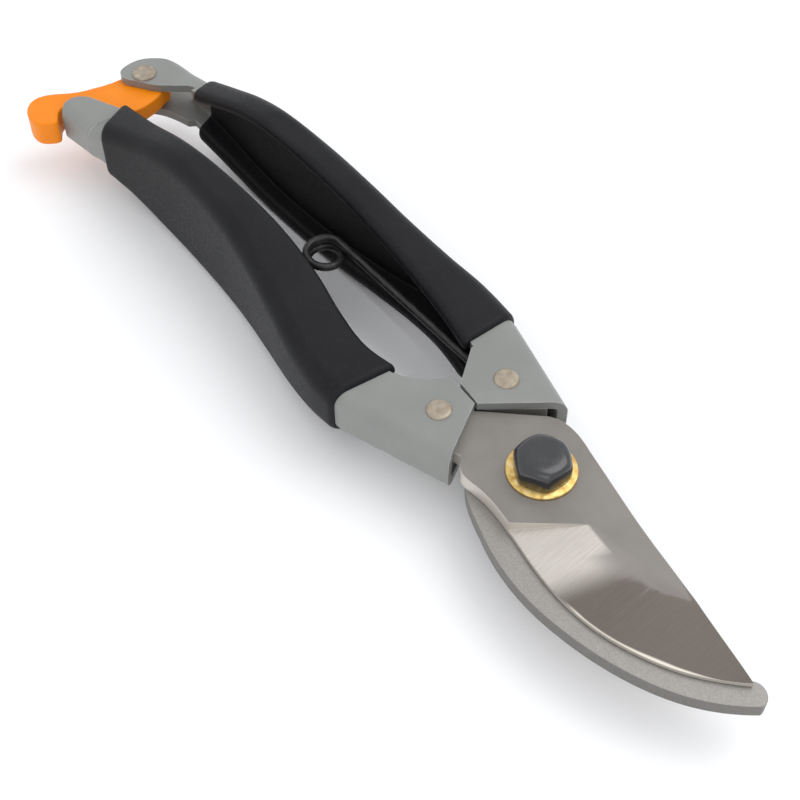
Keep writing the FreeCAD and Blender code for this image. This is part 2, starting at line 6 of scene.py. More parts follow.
import bmesh
import bpy
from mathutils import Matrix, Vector


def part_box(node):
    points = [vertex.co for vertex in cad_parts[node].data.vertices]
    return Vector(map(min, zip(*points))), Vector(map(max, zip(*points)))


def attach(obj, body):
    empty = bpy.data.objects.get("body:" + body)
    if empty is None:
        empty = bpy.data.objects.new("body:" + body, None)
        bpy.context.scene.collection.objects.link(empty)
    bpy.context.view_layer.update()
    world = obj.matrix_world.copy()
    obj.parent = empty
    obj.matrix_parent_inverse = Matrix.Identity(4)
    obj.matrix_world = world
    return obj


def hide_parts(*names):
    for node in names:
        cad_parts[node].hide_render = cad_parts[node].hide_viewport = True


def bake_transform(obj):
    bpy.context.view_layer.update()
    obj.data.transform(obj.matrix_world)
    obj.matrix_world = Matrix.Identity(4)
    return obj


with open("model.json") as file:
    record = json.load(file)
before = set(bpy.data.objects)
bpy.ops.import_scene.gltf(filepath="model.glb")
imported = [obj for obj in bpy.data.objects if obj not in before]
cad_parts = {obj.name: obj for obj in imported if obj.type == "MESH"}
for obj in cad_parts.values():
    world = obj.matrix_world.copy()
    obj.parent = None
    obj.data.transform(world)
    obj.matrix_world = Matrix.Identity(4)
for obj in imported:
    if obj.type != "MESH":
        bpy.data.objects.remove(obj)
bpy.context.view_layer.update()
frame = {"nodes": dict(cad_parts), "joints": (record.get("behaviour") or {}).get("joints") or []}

MM = 0.001
nodes = frame["nodes"]
joints = {joint["name"]: joint for joint in frame["joints"]}
PIVOT = Vector(joints["blade_pivot"]["pos_m"])
COIL = Vector(joints["spring_coil_turn"]["pos_m"])
HOOK_LEG_END = Vector(joints["spring_leg_swing"]["pos_m"])


def at(x, y, z=0.0):
    """A point given in millimetres from the pivot's axis and the plane in which the blade slides."""
    return PIVOT + Vector((x, y, z)) * MM


# ---------------------------------------------------------------- material nodes
def new_material(name):
    """A node material, its tree, its shader and the object's own coordinates."""
    material = bpy.data.materials.new(name)
    material.use_nodes = True
    tree = material.node_tree
    place = tree.nodes.new("ShaderNodeTexCoord").outputs["Object"]
    return material, tree, tree.nodes["Principled BSDF"], place


def noise(tree, place, scale, detail=3.0, stretch=(1.0, 1.0, 1.0)):
    """Noise of so many features per metre, drawn out along the axes with a small stretch."""
    mapping = tree.nodes.new("ShaderNodeMapping")
    mapping.inputs["Scale"].default_value = stretch
    tree.links.new(place, mapping.inputs["Vector"])
    texture = tree.nodes.new("ShaderNodeTexNoise")
    texture.inputs["Scale"].default_value = scale
    texture.inputs["Detail"].default_value = detail
    tree.links.new(mapping.outputs["Vector"], texture.inputs["Vector"])
    return texture.outputs["Fac"]


def ramp(tree, factor, stops):
    """A colour ramp over stops of (position, (red, green, blue))."""
    node = tree.nodes.new("ShaderNodeValToRGB")
    elements = node.color_ramp.elements
    while len(elements) < len(stops):
        elements.new(0.5)
    for element, (position, colour) in zip(elements, stops):
        element.position = position
        element.color = (*colour, 1.0)
    tree.links.new(factor, node.inputs["Fac"])
    return node.outputs["Color"]


def mixed(tree, factor, first, second):
    """Two colours mixed. Each is an output of a node or three plain numbers."""
    node = tree.nodes.new("ShaderNodeMix")
    node.data_type = "RGBA"
    tree.links.new(factor, node.inputs["Factor"])
    for socket, colour in ((node.inputs[6], first), (node.inputs[7], second)):
        if isinstance(colour, tuple):
            socket.default_value = (*colour, 1.0)
        else:
            tree.links.new(colour, socket)
    return node.outputs[2]


def in_range(tree, value, low, high, low_to=0.0, high_to=1.0):
    node = tree.nodes.new("ShaderNodeMapRange")
    node.interpolation_type = "SMOOTHSTEP"
    for name, number in (("From Min", low), ("From Max", high), ("To Min", low_to), ("To Max", high_to)):
        node.inputs[name].default_value = number
    tree.links.new(value, node.inputs["Value"])
    return node.outputs["Result"]


def product(tree, first, second):
    node = tree.nodes.new("ShaderNodeMath")
    node.operation = "MULTIPLY"
    tree.links.new(first, node.inputs[0])
    tree.links.new(second, node.inputs[1])
    return node.outputs[0]


def part_of(tree, vector, axis):
    node = tree.nodes.new("ShaderNodeSeparateXYZ")
    tree.links.new(vector, node.inputs[0])
    return node.outputs[axis]


def round_edges(tree, radius):
    """Normals rounded over the edges, and a mask that is 1 on those edges."""
    bevel = tree.nodes.new("ShaderNodeBevel")
    bevel.samples = 6
    bevel.inputs["Radius"].default_value = radius
    geometry = tree.nodes.new("ShaderNodeNewGeometry")
    dot = tree.nodes.new("ShaderNodeVectorMath")
    dot.operation = "DOT_PRODUCT"
    tree.links.new(bevel.outputs["Normal"], dot.inputs[0])
    tree.links.new(geometry.outputs["Normal"], dot.inputs[1])
    return bevel.outputs["Normal"], in_range(tree, dot.outputs["Value"], 0.80, 0.985, 1.0, 0.0)


def add_bump(tree, shader, height, distance, strength, normal=None):
    node = tree.nodes.new("ShaderNodeBump")
    node.inputs["Strength"].default_value = strength
    node.inputs["Distance"].default_value = distance
    tree.links.new(height, node.inputs["Height"])
    if normal:
        tree.links.new(normal, node.inputs["Normal"])
    tree.links.new(node.outputs["Normal"], shader.inputs["Normal"])


def face_up(tree):
    """The upward part of the surface's direction."""
    return part_of(tree, tree.nodes.new("ShaderNodeNewGeometry").outputs["Normal"], "Z")


# ---------------------------------------------------------------- materials
# where the bevel's painted reflection turns from bright to dark, the way across that line, and where the
# painted highlight along its honed rim begins
BEVEL_REFLECTION_TURN = (22.4, -8.1)
BEVEL_ACROSS = (0.95, -0.31, 0.0)
HONED_HIGHLIGHT_TOP = 1.08
HONED_HIGHLIGHT_FULL = 1.00
HONED_HIGHLIGHT_FROM_X = (22.0, 27.0)


def blade_steel():
    """Satin ground steel with cross-wise grinding marks. A painted reflection makes the bevel bright at the
    heel and dark towards the tip, a painted highlight runs along its honed rim, and the side faces and
    rounded edges carry painted highlights."""
    material, tree, shader, place = new_material("blade_steel")
    streaks = noise(tree, place, 1.0, 4.0, (7500.0, 220.0, 220.0))
    patches = noise(tree, place, 110.0, 3.0)
    flat = mixed(tree, in_range(tree, patches, 0.3, 0.7), (0.205, 0.190, 0.174), (0.235, 0.219, 0.202))
    flat = mixed(tree, in_range(tree, streaks, 0.3, 0.8, 0.0, 0.25), flat, (0.29, 0.27, 0.25))
    across = tree.nodes.new("ShaderNodeVectorMath")
    across.operation = "DOT_PRODUCT"
    across.inputs[1].default_value = BEVEL_ACROSS
    tree.links.new(place, across.inputs[0])
    middle = at(*BEVEL_REFLECTION_TURN).dot(Vector(BEVEL_ACROSS))
    reflection_to_tip = in_range(tree, across.outputs["Value"], middle - 3.5 * MM, middle + 3.5 * MM)
    # painted reflection on the bevel: a bright colour towards the heel, a dark one towards the tip
    heel_bright_reflection = mixed(tree, in_range(tree, streaks, 0.3, 0.75), (0.50, 0.465, 0.42), (0.60, 0.565, 0.515))
    tip_dark_reflection = mixed(tree, in_range(tree, streaks, 0.3, 0.75), (0.125, 0.108, 0.092), (0.150, 0.130, 0.113))
    bevel = mixed(tree, reflection_to_tip, heel_bright_reflection, tip_dark_reflection)
    height = part_of(tree, place, "Z")
    # painted highlight: a bright line along the honed rim of the bevel
    honed_rim_highlight = product(tree, in_range(tree, height, PIVOT.z + HONED_HIGHLIGHT_TOP * MM, PIVOT.z + HONED_HIGHLIGHT_FULL * MM),
                    in_range(tree, part_of(tree, place, "X"), *(PIVOT.x + x * MM for x in HONED_HIGHLIGHT_FROM_X)))
    bevel = mixed(tree, honed_rim_highlight, bevel, (0.70, 0.65, 0.57))
    up = face_up(tree)
    is_bevel = product(tree, in_range(tree, up, 0.997, 0.992), in_range(tree, up, 0.5, 0.8))
    colour = mixed(tree, is_bevel, flat, bevel)
    # painted highlight: faces that turn away from straight up are painted lighter
    colour = mixed(tree, in_range(tree, up, 0.75, 0.35), colour, (0.62, 0.58, 0.52))
    normal, edges = round_edges(tree, 0.12 * MM)
    # painted highlight along the rounded edges
    colour = mixed(tree, in_range(tree, edges, 0.2, 1.0, 0.0, 0.6), colour, (0.62, 0.58, 0.52))
    tree.links.new(colour, shader.inputs["Base Color"])
    shader.inputs["Metallic"].default_value = 0.55
    tree.links.new(in_range(tree, streaks, 0.2, 0.8, 0.40, 0.52), shader.inputs["Roughness"])
    add_bump(tree, shader, streaks, 0.006 * MM, 0.3, normal)
    return material


def hook_steel():
    """The counter blade's steel: paler, with a speckle of fine grinding. Its side faces carry painted shade
    and its rounded edges a painted highlight.
    """
    material, tree, shader, place = new_material("hook_steel")
    streaks = noise(tree, place, 1.0, 4.0, (700.0, 5200.0, 700.0))
    specks = noise(tree, place, 3600.0, 2.0)
    colour = mixed(tree, in_range(tree, specks, 0.35, 0.7), (0.275, 0.260, 0.243), (0.325, 0.308, 0.290))
    up = face_up(tree)
    # painted shade: faces turned away from up get this darker colour
    side = mixed(tree, in_range(tree, streaks, 0.3, 0.7), (0.150, 0.141, 0.130), (0.190, 0.180, 0.168))
    colour = mixed(tree, in_range(tree, up, 0.7, 0.2), colour, side)
    normal, edges = round_edges(tree, 0.18 * MM)
    # painted highlight along the rounded edges
    colour = mixed(tree, in_range(tree, edges, 0.2, 1.0, 0.0, 0.5), colour, (0.66, 0.63, 0.58))
    tree.links.new(colour, shader.inputs["Base Color"])
    shader.inputs["Metallic"].default_value = 0.5
    tree.links.new(in_range(tree, streaks, 0.2, 0.8, 0.38, 0.55), shader.inputs["Roughness"])
    add_bump(tree, shader, specks, 0.006 * MM, 0.3, normal)
    return material


def handle_paint():
    """Satin grey paint with a fine orange peel, and a painted highlight that makes it paler along the edges,
    broken up by noise.
    """
    material, tree, shader, place = new_material("handle_paint")
    tone = noise(tree, place, 55.0, 4.0)
    peel = noise(tree, place, 2100.0, 2.0)
    colour = mixed(tree, in_range(tree, tone, 0.3, 0.7), (0.222, 0.229, 0.217), (0.250, 0.256, 0.243))
    normal, edges = round_edges(tree, 0.30 * MM)
    # painted highlight along the rounded edges, broken up by noise
    edge_highlight = product(tree, edges, in_range(tree, noise(tree, place, 420.0, 4.0), 0.25, 0.65, 0.35, 1.0))
    colour = mixed(tree, edge_highlight, colour, (0.60, 0.61, 0.60))
    tree.links.new(colour, shader.inputs["Base Color"])
    shader.inputs["Metallic"].default_value = 0.15
    tree.links.new(in_range(tree, peel, 0.3, 0.7, 0.38, 0.50), shader.inputs["Roughness"])
    add_bump(tree, shader, peel, 0.016 * MM, 0.4, normal)
    return material


def grip_vinyl():
    """Matte black dipped vinyl with a fine pebble and a slow waviness from the dipping."""
    material, tree, shader, place = new_material("grip_vinyl")
    pebble = noise(tree, place, 1500.0, 4.0)
    wave = noise(tree, place, 70.0, 2.0)
    colour = mixed(tree, in_range(tree, wave, 0.3, 0.7), (0.0050, 0.0050, 0.0062), (0.0080, 0.0080, 0.0095))
    colour = mixed(tree, in_range(tree, pebble, 0.45, 0.8, 0.0, 0.4), colour, (0.022, 0.022, 0.024))
    tree.links.new(colour, shader.inputs["Base Color"])
    tree.links.new(in_range(tree, pebble, 0.3, 0.7, 0.44, 0.56), shader.inputs["Roughness"])
    shader.inputs["Specular IOR Level"].default_value = 0.20
    add_bump(tree, shader, pebble, 0.05 * MM, 0.35)
    return material


def rivet_metal():
    """Turned nickel heads, a warm grey with round tool marks and a little tarnish, and a painted highlight
    along the edges.
    """
    material, tree, shader, place = new_material("rivet_metal")
    tarnish = noise(tree, place, 620.0, 4.0)
    colour = ramp(tree, tarnish, [(0.30, (0.27, 0.22, 0.165)), (0.50, (0.35, 0.295, 0.23)),
                                  (0.72, (0.42, 0.37, 0.30))])
    normal, edges = round_edges(tree, 0.10 * MM)
    # painted highlight along the rounded edges
    colour = mixed(tree, in_range(tree, edges, 0.2, 1.0, 0.0, 0.5), colour, (0.70, 0.63, 0.54))
    tree.links.new(colour, shader.inputs["Base Color"])
    shader.inputs["Metallic"].default_value = 0.55
    tree.links.new(in_range(tree, tarnish, 0.3, 0.7, 0.50, 0.36), shader.inputs["Roughness"])
    add_bump(tree, shader, noise(tree, place, 2400.0, 2.0), 0.02 * MM, 0.4, normal)
    return material


def bolt_black():
    """Glossy black oxide, with a slight ripple in its gloss."""
    material, tree, shader, place = new_material("bolt_black")
    ripple = noise(tree, place, 520.0, 3.0)
    dust = noise(tree, place, 3800.0, 2.0)
    colour = mixed(tree, in_range(tree, dust, 0.64, 0.82), (0.0060, 0.0062, 0.0085), (0.030, 0.031, 0.036))
    tree.links.new(colour, shader.inputs["Base Color"])
    tree.links.new(in_range(tree, ripple, 0.3, 0.7, 0.16, 0.30), shader.inputs["Roughness"])
    shader.inputs["Specular IOR Level"].default_value = 0.65
    shader.inputs["Coat Weight"].default_value = 0.5
    shader.inputs["Coat Roughness"].default_value = 0.12
    add_bump(tree, shader, ripple, 0.03 * MM, 0.35)
    return material


def washer_zinc():
    """Yellow zinc plate, paler where the plating is thin."""
    material, tree, shader, place = new_material("washer_zinc")
    plating = noise(tree, place, 700.0, 4.0)
    colour = ramp(tree, plating, [(0.30, (0.50, 0.30, 0.07)), (0.52, (0.74, 0.52, 0.18)),
                                  (0.75, (0.86, 0.70, 0.38))])
    tree.links.new(colour, shader.inputs["Base Color"])
    shader.inputs["Metallic"].default_value = 0.8
    tree.links.new(in_range(tree, plating, 0.3, 0.7, 0.42, 0.26), shader.inputs["Roughness"])
    add_bump(tree, shader, plating, 0.01 * MM, 0.4)
    return material


def latch_plastic():
    """Moulded orange plastic: slightly translucent, fine spark-eroded grain, faint flow marks."""
    material, tree, shader, place = new_material("latch_plastic")
    flow = noise(tree, place, 90.0, 3.0, (1.0, 0.35, 1.0))
    grain = noise(tree, place, 2600.0, 3.0)
    colour = mixed(tree, in_range(tree, flow, 0.3, 0.7), (0.84, 0.225, 0.001), (0.89, 0.262, 0.002))
    colour = mixed(tree, in_range(tree, grain, 0.55, 0.8, 0.0, 0.35), colour, (0.97, 0.33, 0.02))
    tree.links.new(colour, shader.inputs["Base Color"])
    tree.links.new(in_range(tree, grain, 0.3, 0.7, 0.36, 0.50), shader.inputs["Roughness"])
    shader.inputs["Specular IOR Level"].default_value = 0.3
    shader.inputs["Subsurface Weight"].default_value = 0.12
    shader.inputs["Subsurface Radius"].default_value = (0.6 * MM, 0.25 * MM, 0.1 * MM)
    shader.inputs["Subsurface Scale"].default_value = 1.0
    add_bump(tree, shader, grain, 0.02 * MM, 0.4)
    return material


def spring_wire():
    """Drawn spring wire, oil-blackened, with fine draw lines."""
    material, tree, shader, place = new_material("spring_wire")
    lines = noise(tree, place, 1.0, 3.0, (420.0, 4200.0, 4200.0))
    colour = ramp(tree, lines, [(0.30, (0.020, 0.020, 0.021)), (0.60, (0.045, 0.044, 0.043)),
                                (0.80, (0.12, 0.115, 0.11))])
    tree.links.new(colour, shader.inputs["Base Color"])
    shader.inputs["Metallic"].default_value = 0.6
    tree.links.new(in_range(tree, lines, 0.3, 0.7, 0.30, 0.46), shader.inputs["Roughness"])
    add_bump(tree, shader, lines, 0.01 * MM, 0.4)
    return material


MATERIALS = {make.__name__: make() for make in (
    blade_steel, hook_steel, handle_paint, grip_vinyl, rivet_metal, bolt_black, washer_zinc,
    latch_plastic, spring_wire)}


# ---------------------------------------------------------------- pieces
def new_piece(name, vertices, faces, slot, sharp_over=180.0):
    """An object of its own mesh, smooth except over edges sharper than an angle in degrees."""
    mesh = bpy.data.meshes.new(name)
    mesh.from_pydata([tuple(vertex) for vertex in vertices], [], faces)
    mesh.validate()
    shape = bmesh.new()
    shape.from_mesh(mesh)
    bmesh.ops.recalc_face_normals(shape, faces=shape.faces)
    shape.to_mesh(mesh)
    shape.free()
    mesh.polygons.foreach_set("use_smooth", [True] * len(mesh.polygons))
    if sharp_over < 180.0:
        mesh.set_sharp_from_angle(angle=math.radians(sharp_over))
    mesh.materials.append(MATERIALS[slot])
    piece = bpy.data.objects.new(name, mesh)
    bpy.context.scene.collection.objects.link(piece)
    return piece


FLAT_WITHIN_DEGREES = 0.5


def welded_copy(name, node, slot):
    """A copy of a CAD node as one joined mesh, its flat faces cleared of the edges between triangles."""
    shape = bmesh.new()
    shape.from_mesh(nodes[node].data)
    bmesh.ops.remove_doubles(shape, verts=shape.verts, dist=0.002 * MM)
    bmesh.ops.dissolve_limit(shape, angle_limit=math.radians(FLAT_WITHIN_DEGREES),
                             verts=shape.verts, edges=shape.edges)
    shape.verts.index_update()
    vertices = [vertex.co.copy() for vertex in shape.verts]
    faces = [[vertex.index for vertex in face.verts] for face in shape.faces]
    shape.free()
    return new_piece(name, vertices, faces, slot)


def stand_for(piece, body, *cad_nodes):
    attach(piece, body)
    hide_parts(*cad_nodes)


# the two plates: (piece, CAD node, body, slot, width of the broken corner)
GROUND_BLADES = [("cutting_blade_ground", "cutting_blade", "blade_side", "blade_steel", 0.12),
                 ("hook_blade_ground", "hook_blade", "hook_side", "hook_steel", 0.2)]
SHARP_DEGREES = 30.0


def add_ground_blades():
    """The two blades, with their sharp corners broken by a fine bevel."""
    for name, node, body, slot, width in GROUND_BLADES:
        piece = welded_copy(name, node, slot)
        bevel = piece.modifiers.new("broken_corners", "BEVEL")
        bevel.width = width * MM
        bevel.segments = 2
        bevel.limit_method = "ANGLE"
        bevel.angle_limit = math.radians(SHARP_DEGREES)
        bevel.harden_normals = True
        piece.data.set_sharp_from_angle(angle=math.radians(SHARP_DEGREES))
        stand_for(piece, body, node)


def add_moulded_latch():
    """The latch with the soft corners of a moulding."""
    piece = welded_copy("latch_moulded", "latch_lever", "latch_plastic")
    remesh = piece.modifiers.new("skin", "REMESH")
    remesh.mode = "VOXEL"
    remesh.voxel_size = 0.24 * MM
    remesh.use_smooth_shade = True
    smooth = piece.modifiers.new("soft_corners", "SMOOTH")
    smooth.factor = 0.5
    smooth.iterations = 14
    stand_for(piece, "latch", "latch_lever")


# ---------------------------------------------------------------- dipped grips
SHEET = 1.95
BEND = 3.0
COAT_OUTSIDE = 1.0
COAT_INSIDE = 0.6
CROWN = 13.5

# the handles' channels under their coats: (x, back, flange tips, half height), y towards the back
HOOK_CHANNEL = [(-30.5, 19.7, 8.2, 5.2), (-42.0, 20.1, 10.2, 5.9), (-52.0, 18.8, 10.9, 7.3),
                (-64.0, 17.3, 11.0, 9.5), (-76.0, 16.4, 10.7, 11.4), (-88.0, 15.6, 10.1, 12.6),
                (-104.0, 14.6, 9.3, 12.7), (-114.0, 13.9, 8.5, 11.2), (-124.0, 12.9, 7.1, 8.2),
                (-133.0, 11.8, 5.6, 5.4)]
BLADE_CHANNEL = [(-34.5, 21.4, 8.8, 5.2), (-43.0, 21.9, 10.8, 6.0), (-52.0, 21.0, 10.4, 7.4),
                 (-62.0, 19.1, 8.9, 9.2), (-74.0, 16.9, 8.2, 11.1), (-86.0, 15.4, 8.6, 12.5),
                 (-101.0, 14.9, 9.4, 12.7), (-112.0, 15.5, 10.1, 11.5), (-124.0, 17.4, 10.6, 8.2),
                 (-137.2, 20.9, 10.7, 5.0)]


def channel_at(stations, x):
    """Back, flange tips and half height at one x, along a smooth curve through the stations."""
    x = max(min(x, stations[0][0]), stations[-1][0])
    index = 0
    while index < len(stations) - 2 and x < stations[index + 1][0]:
        index += 1
    near, far = stations[index], stations[index + 1]
    span = far[0] - near[0]
    share = (x - near[0]) / span

    def slope(place, column):
        before = stations[max(place - 1, 0)]
        after = stations[min(place + 1, len(stations) - 1)]
        return (after[column] - before[column]) / (after[0] - before[0])

    values = []
    for column in (1, 2, 3):
        start, end = near[column], far[column]
        leave, arrive = slope(index, column) * span, slope(index + 1, column) * span
        values.append(start + share * (leave + share * (
            -3 * start + 3 * end - 2 * leave - arrive + share * (2 * start - 2 * end + leave + arrive))))
    return values


def arc(centre_y, centre_z, radius, start, end, count):
    """Points on an arc, from a start angle to an end angle in degrees."""
    points = []
    for step in range(count + 1):
        angle = math.radians(start + (end - start) * step / count)
        points.append((centre_y + radius * math.cos(angle), centre_z + radius * math.sin(angle)))
    return points


def coat_loop(back, tips, half, outside, inside):
    """The closed C of the coat round one cross-section of the sheet, back towards +y."""
    tip_radius = 0.5 * (SHEET + outside + inside)
    tip_z = half - 0.5 * (SHEET + inside - outside)
    bend_y, bend_z = back - BEND, half - BEND
    inner_bend = max(BEND - SHEET - inside, 0.35)
    inner_y = back - SHEET - inside - inner_bend
    inner_z = half - SHEET - inside - inner_bend
    points = arc(tips, tip_z, tip_radius, 270, 90, 8)
    points += arc(bend_y, bend_z, BEND + outside, 90, 0, 7)
    points += arc(bend_y, -bend_z, BEND + outside, 0, -90, 7)
    points += arc(tips, -tip_z, tip_radius, 270, 90, 8)
    points += arc(inner_y, -inner_z, inner_bend, -90, 0, 3)
    points += arc(inner_y, inner_z, inner_bend, 0, 90, 3)
    return points


FAR_OUT = 30.0    # where a limit's second x is given, in millimetres from the centre line
MIDWAY = 14.0
SKIN = 0.03       # keeps the coat off the sheet where it thins to nothing


def grip_ring(stations, side, share, limits, rise):
    """One ring of a grip. limits holds (x on the centre line, x 30 mm out) for its front and rear ends,
    and rise is how much of the coat's thickness there is at this ring."""
    outside, inside = COAT_OUTSIDE * rise + SKIN, COAT_INSIDE * rise + SKIN

    def x_at(y):
        front, rear = (at_centre + (at_back - at_centre) * y / FAR_OUT for at_centre, at_back in limits)
        return max(front + (rear - front) * share, stations[-1][0])

    rough = coat_loop(*channel_at(stations, x_at(MIDWAY)), outside, inside)
    ring = []
    for index, (y, _) in enumerate(rough):
        x = x_at(y)
        y, z = coat_loop(*channel_at(stations, x), outside, inside)[index]
        ring.append((x_at(y), side * y, max(-CROWN, min(CROWN, z))))
    return ring


LIP = 1.3
GRIP_RINGS = 84


def add_grip(name, node, body, stations, side, limits):
    """A dipped grip over a channel, from ring to ring, with rounded lips at both ends."""
    length = abs(sum(limits[1]) - sum(limits[0])) / 2.0
    rings = []
    depths = [0.0, 0.03, 0.1, 0.22, 0.42, 0.7, 1.0, LIP]
    shares = [depth / length for depth in depths]
    start, end = shares[-1], 1.0 - shares[-1]
    shares += [start + (end - start) * step / GRIP_RINGS for step in range(1, GRIP_RINGS)]
    shares += [1.0 - depth / length for depth in reversed(depths)]
    for share in shares:
        depth = min(share, 1.0 - share) * length
        rise = math.sqrt(max(0.0, 1.0 - (1.0 - min(depth / LIP, 1.0)) ** 2))
        rings.append(grip_ring(stations, side, share, limits, rise))
    vertices = []
    faces = []
    for ring in rings:
        vertices.extend(at(*point) for point in ring)
    count = len(rings[0])
    for ring_index in range(len(rings) - 1):
        first = ring_index * count
        for index in range(count):
            beside = (index + 1) % count
            faces.append([first + index, first + beside, first + count + beside, first + count + index])
    last = (len(rings) - 1) * count
    faces.append(list(range(count)))
    faces.append([last + index for index in range(count)])
    piece = new_piece(name, vertices, faces, "grip_vinyl", 60.0)
    stand_for(piece, body, node)


# ---------------------------------------------------------------- turned parts
def turned(name, centre, profile, slot, segments=64, shape=None, sharp_over=40.0):
    """A turned piece: profile is (radius, height) in millimetres, from the lower pole to the upper one.
    shape may change a ring's radius with the angle, or a point's height."""
    vertices = []
    rings = []
    for radius, height in profile:
        if radius == 0.0:
            rings.append([len(vertices)])
            vertices.append(centre + Vector((0.0, 0.0, height)) * MM)
            continue
        ring = []
        for step in range(segments):
            angle = 2.0 * math.pi * step / segments
            point = Vector((radius * math.cos(angle), radius * math.sin(angle), height))
            if shape:
                point = shape(point, angle)
            ring.append(len(vertices))
            vertices.append(centre + point * MM)
        rings.append(ring)
    faces = []
    for low, high in zip(rings, rings[1:]):
        for step in range(segments):
            beside = (step + 1) % segments
            if len(low) == 1:
                faces.append([low[0], high[beside], high[step]])
            elif len(high) == 1:
                faces.append([low[step], low[beside], high[0]])
            else:
                faces.append([low[step], low[beside], high[beside], high[step]])
    return new_piece(name, vertices, faces, slot, sharp_over)


RIM_ROUND = 0.35


def head_profile(radius, seat, rise):
    """The half profile of a low domed head, from its rim on the seat to its pole."""
    points = [(radius, seat)]
    for step in range(1, 7):
        angle = math.radians(90.0 * step / 6)
        points.append((radius * (1.0 - RIM_ROUND * (1.0 - math.cos(angle))),
                       seat + 0.82 * rise * math.sin(angle)))
    inner = points[-1][0]
    for share in (0.8, 0.6, 0.4, 0.2, 0.0):
        points.append((inner * share, seat + rise * (1.0 - 0.18 * share * share)))
    return points


def rivet_profile(radius, shank, half, rise):
    upper = head_profile(radius, half, rise)
    lower = [(r, -z) for r, z in reversed(upper)]
    return lower + [(shank, -half + 0.2), (shank, half - 0.2)] + upper


# radius and rise of a ferrule rivet's heads, its shank, and half the ferrule's height
RIVET_HEAD = 2.6
RIVET_RISE = 0.6
RIVET_SHANK = 1.6
FERRULE_HALF = 5.2


def add_rivets():
    pins = [("hook_handle_rivet", "hook_side"), ("blade_handle_rivet", "blade_side")]
    for node, body in pins:
        low, high = (Vector(corner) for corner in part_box(node))
        middle = (low + high) / 2.0
        profile = rivet_profile(RIVET_HEAD, RIVET_SHANK, FERRULE_HALF, RIVET_RISE)
        piece = turned(node + "_head", middle, profile, "rivet_metal")
        stand_for(piece, body, node)

    def peened(point, _):
        """A long dent in the head's rim, left by the riveting tool."""
        if point.z > 4.0:
            along = point.x * 0.6 + point.y * 0.8 + 0.8
            across = point.x * -0.8 + point.y * 0.6 + 1.45
            point.z -= 0.75 * math.exp(-(along / 1.0) ** 2 - (across / 0.42) ** 2)
        return point

    upper = [(2.9, 4.8), (2.88, 5.0), (2.78, 5.2), (2.62, 5.36), (2.4, 5.46), (2.15, 5.52), (1.9, 5.55),
             (1.65, 5.57), (1.4, 5.58), (1.15, 5.59), (0.9, 5.6), (0.6, 5.6), (0.3, 5.6), (0.0, 5.6)]
    lower = [(r, -z) for r, z in reversed(upper)]
    low, high = (Vector(corner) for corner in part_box("latch_rivet"))
    piece = turned("latch_rivet_head", (low + high) / 2.0, lower + [(2.0, -4.6), (2.0, 4.6)] + upper,
                   "rivet_metal", 72, peened, 75.0)
    stand_for(piece, "hook_side", "latch_rivet")


def add_pivot():
    """The cap nut, the bolt's head underneath, and a washer under each."""
    low, high = (Vector(corner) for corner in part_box("pivot_nut"))
    height = (high.z - low.z) / MM
    across = 0.5 * (high.y - low.y) / MM

    def soft_hexagon(point, angle):
        """Pull a ring in from its circle to a hexagon with well rounded corners, less so near the top."""
        turn = (angle + math.pi / 6) % (math.pi / 3) - math.pi / 6
        flats = across * 0.985 / math.cos(turn)
        corner = across * 1.10
        radius = (flats ** -9 + corner ** -9) ** (-1.0 / 9)
        scale = radius / across
        top_share = min(1.0, max(0.0, (point.z / height - 0.45) / 0.55))
        scale = scale + (1.0 - scale) * top_share * top_share
        return Vector((point.x * scale, point.y * scale, point.z))

    profile = [(3.8, 0.0)]    # just inside the bolt's shank
    for share, rise in ((0.95, 0.0), (0.985, 0.05), (1.0, 0.14), (1.0, 0.30), (1.0, 0.46), (0.995, 0.58),
                        (0.975, 0.70), (0.94, 0.80), (0.89, 0.88), (0.82, 0.94), (0.73, 0.975), (0.6, 0.992),
                        (0.45, 0.998), (0.25, 1.0), (0.0, 1.0)):
        profile.append((across * share, height * rise))
    seat = Vector((PIVOT.x, PIVOT.y, low.z))
    piece = turned("pivot_cap_nut", seat, profile, "bolt_black", 96, soft_hexagon, 75.0)
    stand_for(piece, "hook_side", "pivot_nut")

    low, high = (Vector(corner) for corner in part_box("pivot_bolt"))
    length = (high.z - low.z) / MM
    head = 2.4
    profile = [(0.0, 0.0), (2.0, 0.02), (3.8, 0.12), (5.0, 0.36), (5.8, 0.75), (6.25, 1.3), (6.4, 1.9),
               (6.35, head - 0.08), (6.2, head), (4.0, head), (4.0, length - 0.3), (3.7, length),
               (0.0, length)]
    piece = turned("pivot_bolt_turned", Vector((PIVOT.x, PIVOT.y, low.z)), profile, "bolt_black", 64)
    stand_for(piece, "hook_side", "pivot_bolt")

    for node in ("nut_washer", "head_washer"):
        low, high = (Vector(corner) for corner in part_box(node))
        thick = (high.z - low.z) / MM
        rim = 0.5 * (high.x - low.x) / MM
        profile = [(4.02, 0.0), (rim - 0.15, 0.0), (rim - 0.04, 0.05), (rim, 0.15), (rim, thick - 0.2),
                   (rim - 0.06, thick - 0.08), (rim - 0.2, thick), (4.02, thick), (4.02, 0.0)]
        piece = turned(node + "_turned", Vector((PIVOT.x, PIVOT.y, low.z)), profile, "washer_zinc")
        stand_for(piece, "hook_side", node)


# ---------------------------------------------------------------- spring
BLADE_LEG_END = (-38.0, -12.5)


